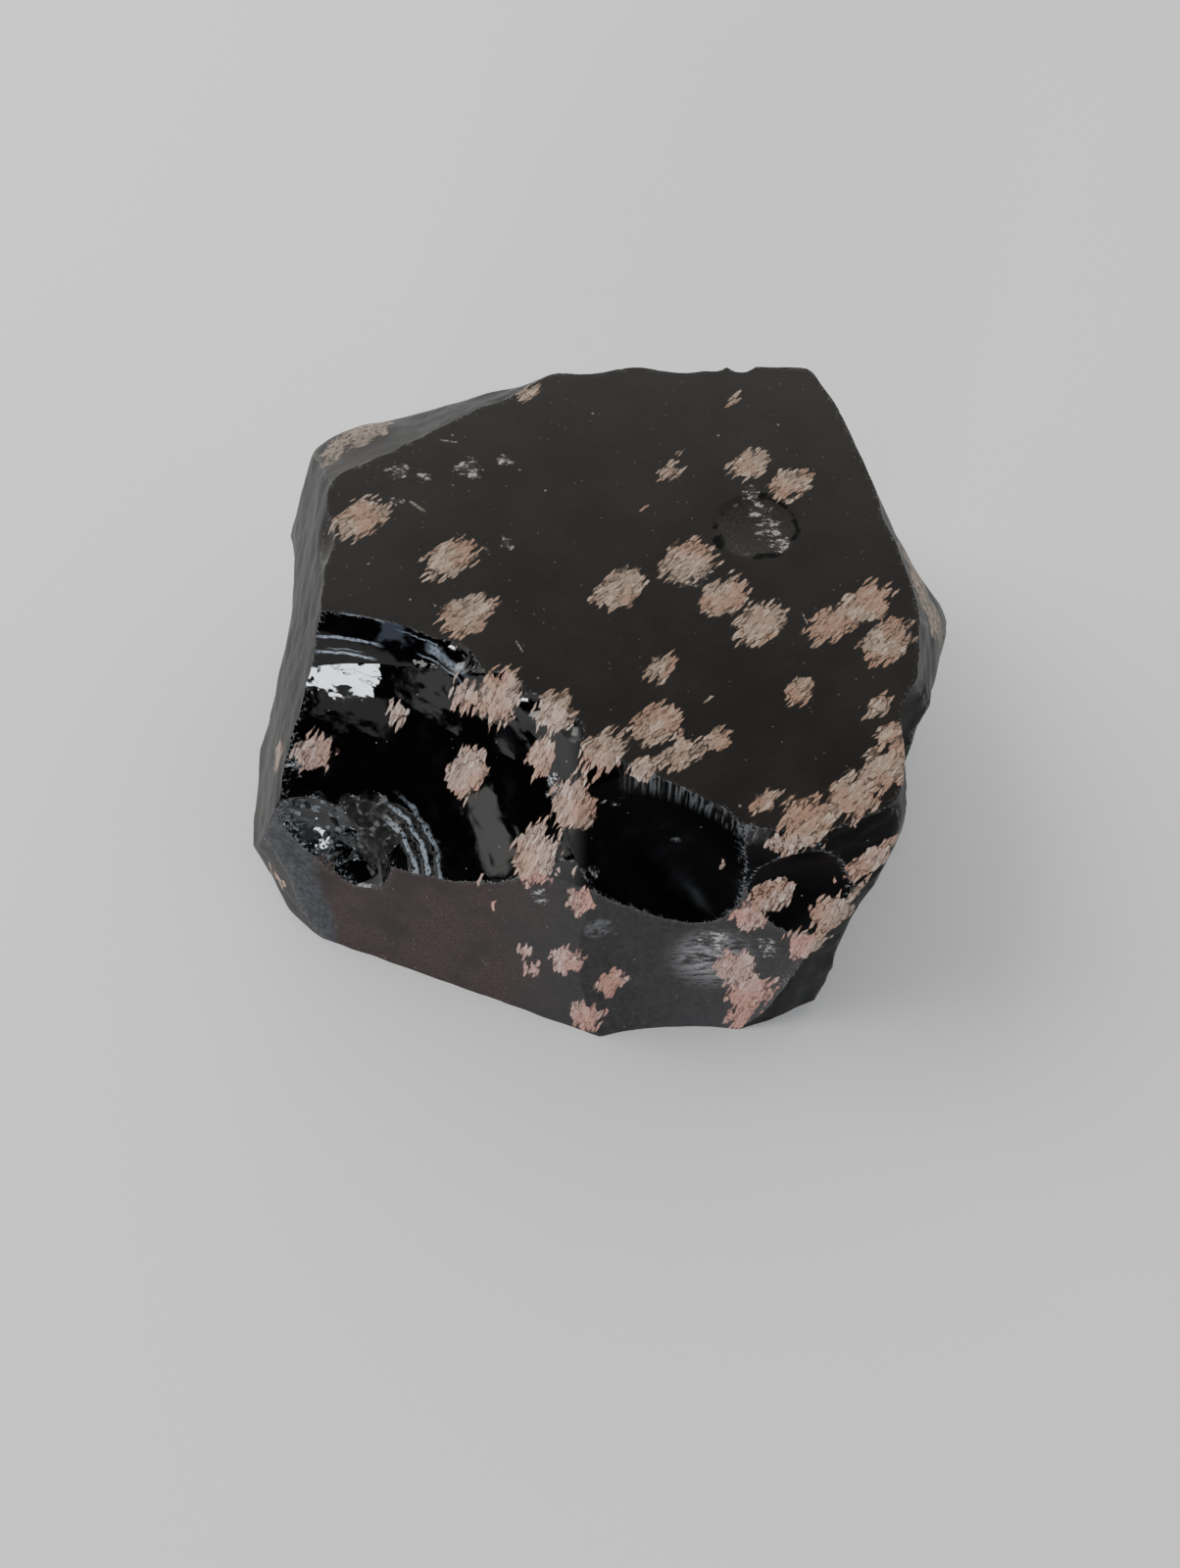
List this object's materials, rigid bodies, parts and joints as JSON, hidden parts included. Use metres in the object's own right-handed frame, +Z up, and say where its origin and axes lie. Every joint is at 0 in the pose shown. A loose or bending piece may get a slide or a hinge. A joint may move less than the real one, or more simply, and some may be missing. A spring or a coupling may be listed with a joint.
{
  "type": "snowflake obsidian",
  "caption": "Broken lump of snowflake obsidian with a sawn flat top, glassy black scars and a matt brown rind, resting on a flat underside.",
  "frame": {"origin": "middle of the lump's footprint box, on the surface that it rests on", "axes": "+Z up out of the sawn top, the side with the two large black scars and the brown rind faces -Y, +X to the right of it"},
  "size_m": [0.1385, 0.1256, 0.055],
  "materials": {
    "obsidian": "glossy black volcanic glass with matt tan snowflakes"
  },
  "bodies": {
    "root": {"obsidian": "obsidian"}
  },
  "joints": []
}
